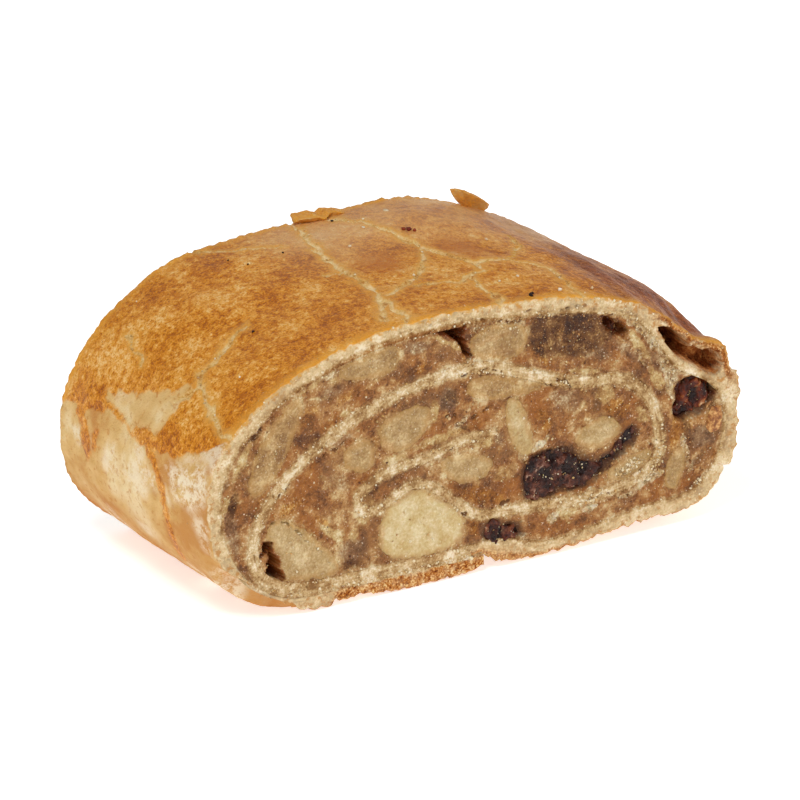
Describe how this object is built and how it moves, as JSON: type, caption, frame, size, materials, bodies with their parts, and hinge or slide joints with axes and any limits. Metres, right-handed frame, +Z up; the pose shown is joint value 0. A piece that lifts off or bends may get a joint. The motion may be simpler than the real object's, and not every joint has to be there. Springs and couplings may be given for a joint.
{
  "type": "apple strudel",
  "caption": "Cut length of baked apple strudel: rolled pastry crust with flaky inner turns round a fruit filling, with diced apple and raisins at both cut ends.",
  "frame": {"origin": "middle of the bottom of the object's box, on the table", "axes": "+X across the cut, towards the side with the blister in the crust; +Y along the roll, away from the cut that shows; +Z up from the table"},
  "size_m": [0.11, 0.05, 0.0505],
  "materials": {
    "dough": "satin",
    "filling": "satin",
    "apple": "satin",
    "raisin": "glossy",
    "nut": "matte"
  },
  "bodies": {
    "root": {"dough": "dough", "filling": "filling", "apple_front_01": "apple", "apple_front_02": "apple", "apple_front_03": "apple", "apple_front_04": "apple", "apple_front_05": "apple", "apple_front_06": "apple", "apple_front_07": "apple", "apple_front_08": "apple", "apple_front_09": "apple", "apple_front_10": "apple", "apple_front_11": "apple", "apple_front_12": "apple", "apple_front_13": "apple", "apple_back_01": "apple", "apple_back_02": "apple", "apple_back_03": "apple", "apple_back_04": "apple", "apple_back_05": "apple", "apple_back_06": "apple", "apple_back_07": "apple", "apple_back_08": "apple", "raisin_front_01": "raisin", "raisin_front_02": "raisin", "raisin_front_03": "raisin", "raisin_front_04": "raisin", "raisin_front_05": "raisin", "raisin_back_01": "raisin", "raisin_back_02": "raisin", "raisin_back_03": "raisin", "raisin_back_04": "raisin", "nut_front_01": "nut"}
  },
  "joints": []
}
